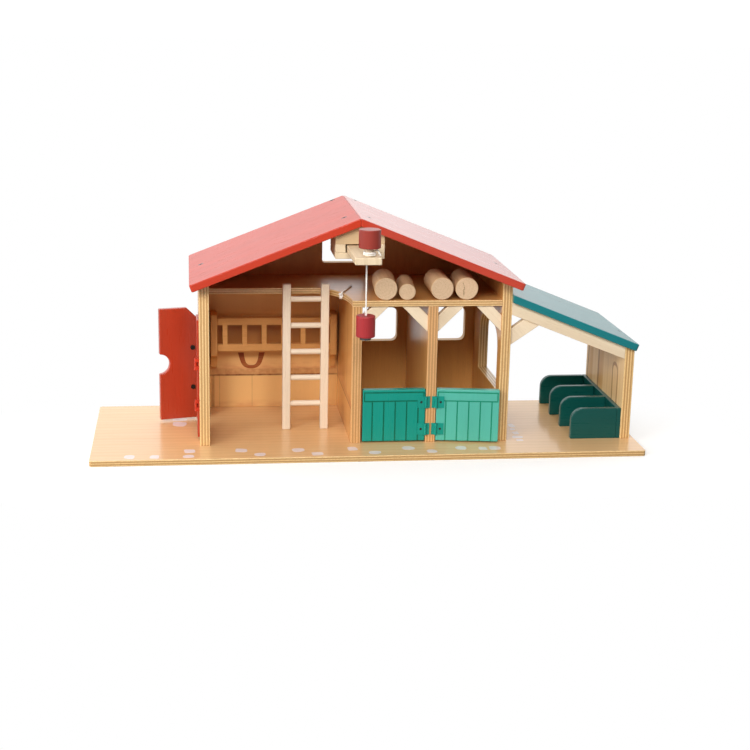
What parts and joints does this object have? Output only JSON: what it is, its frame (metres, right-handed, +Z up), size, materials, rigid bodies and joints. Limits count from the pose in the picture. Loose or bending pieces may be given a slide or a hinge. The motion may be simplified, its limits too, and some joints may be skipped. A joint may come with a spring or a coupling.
{
  "type": "toy barn",
  "caption": "Open-fronted wooden toy barn with pitched roof, hay loft, ladder, gated stalls, double door, sliding crane with winch and magnet weight, and a lean-to with cow cubicles.",
  "frame": {"origin": "under the middle of the whole toy, on the base board's underside", "axes": "+X to the barn's right as seen from its open front, +Y to the back wall, +Z up"},
  "size_m": [0.55, 0.229, 0.2355],
  "materials": {
    "ply": "clear satin lacquer on birch ply",
    "pale_wood": "plain sanded light wood",
    "log_wood": "plain round dowel with pale end grain",
    "red_paint": "satin red paint",
    "red_metal": "red paint on steel",
    "mint_metal": "green paint on steel",
    "crimson_paint": "satin dark red paint",
    "teal_paint": "satin teal paint",
    "mint_paint": "satin green paint with scored planks",
    "dark_green_paint": "satin dark green paint",
    "dark_steel": "black plated steel",
    "magnet_steel": "dark nickel plate",
    "white_cord": "braided cotton cord"
  },
  "bodies": {
    "barn": {"left_wall": "ply", "right_wall": "ply", "back_wall": "ply", "room_partition": "ply", "stall_divider": "ply", "loft_floor": "ply", "base_board": "ply", "lean_to_wall": "ply", "stall_braces": "pale_wood", "ladder_left_stile": "pale_wood", "ladder_right_stile": "pale_wood", "ladder_rungs": "pale_wood", "lean_to_rafter": "pale_wood", "lean_to_brace": "pale_wood", "ridge_block": "pale_wood", "hoist_rails": "pale_wood", "hoist_guide_plate": "pale_wood", "rack_left_bracket": "pale_wood", "rack_right_bracket": "pale_wood", "rack_board": "pale_wood", "left_roof_panel": "red_paint", "right_roof_panel": "red_paint", "door_hinge_plates": "red_metal", "lean_to_roof": "teal_paint", "gate_hinge_plates": "mint_metal", "cubicle_panel": "dark_green_paint", "cubicle_dividers": "dark_green_paint", "roof_screws": "dark_steel", "base_screws": "dark_steel", "door_hinge_pins": "dark_steel", "gate_hinge_pins": "dark_steel", "loft_tie_cord": "white_cord"},
    "front_leaf": {"front_door": "red_paint", "front_door_hinges": "red_metal", "front_door_bolts": "dark_steel"},
    "rear_leaf": {"rear_door": "red_paint", "rear_door_hinges": "red_metal", "rear_door_bolts": "dark_steel"},
    "left_gate_leaf": {"left_gate": "mint_paint", "left_gate_hinges": "mint_metal", "left_gate_bolts": "dark_steel"},
    "right_gate_leaf": {"right_gate": "mint_paint", "right_gate_hinges": "mint_metal", "right_gate_bolts": "dark_steel"},
    "crane_arm": {"hoist_arm": "pale_wood", "arm_stop": "pale_wood", "winch_cord": "white_cord"},
    "winch": {"winch_knob": "crimson_paint", "winch_spindle": "pale_wood", "winch_screw": "dark_steel"},
    "crane_load": {"hoist_cord": "white_cord", "hoist_cord_knot": "white_cord", "hoist_weight": "crimson_paint", "hoist_magnet": "magnet_steel"},
    "loose_log_1": {"log_1": "log_wood"},
    "loose_log_2": {"log_2": "log_wood"},
    "loose_log_3": {"log_3": "log_wood"},
    "loose_log_4": {"log_4": "log_wood"}
  },
  "joints": [
    {"name": "front_door_swing", "type": "hinge", "parent": "barn", "child": "front_leaf", "pos_m": [-0.1724, -0.01225, 0.0615], "axis": [0, 0, 1], "range_deg": [-1, 163]},
    {"name": "rear_door_swing", "type": "hinge", "parent": "barn", "child": "rear_leaf", "pos_m": [-0.1724, 0.06725, 0.0615], "axis": [0, 0, -1], "range_deg": [-76, 90]},
    {"name": "left_gate_swing", "type": "hinge", "parent": "barn", "child": "left_gate_leaf", "pos_m": [0.05655, -0.0359, 0.034], "axis": [0, 0, 1], "range_deg": [0, 90]},
    {"name": "right_gate_swing", "type": "hinge", "parent": "barn", "child": "right_gate_leaf", "pos_m": [0.06705, -0.0359, 0.034], "axis": [0, 0, -1], "range_deg": [-8, 82]},
    {"name": "crane_arm_slide", "type": "slide", "parent": "barn", "child": "crane_arm", "axis": [0, 1, 0], "range_m": [-0.001, 0.035]},
    {"name": "winch_turn", "type": "hinge", "parent": "crane_arm", "child": "winch", "pos_m": [-0.012, -0.1039, 0.221], "axis": [0, 0, -1], "range_deg": [0, 500]},
    {"name": "load_lift", "type": "slide", "parent": "crane_arm", "child": "crane_load", "axis": [0, 0, 1], "range_m": [0, 0.045]},
    {"name": "log_1_slide", "type": "slide", "parent": "barn", "child": "loose_log_1", "axis": [-0.0698, -0.9976, 0], "range_m": [0, 0.06]},
    {"name": "log_2_slide", "type": "slide", "parent": "barn", "child": "loose_log_2", "axis": [0, -1, 0], "range_m": [0, 0.06]},
    {"name": "log_3_slide", "type": "slide", "parent": "barn", "child": "loose_log_3", "axis": [0, -1, 0], "range_m": [0, 0.06]},
    {"name": "log_4_slide", "type": "slide", "parent": "barn", "child": "loose_log_4", "axis": [0, -1, 0], "range_m": [0, 0.06]}
  ],
  "couplings": [
    {"joint": "load_lift", "follows": "winch_turn", "m_per_rad": 0.0051}
  ]
}
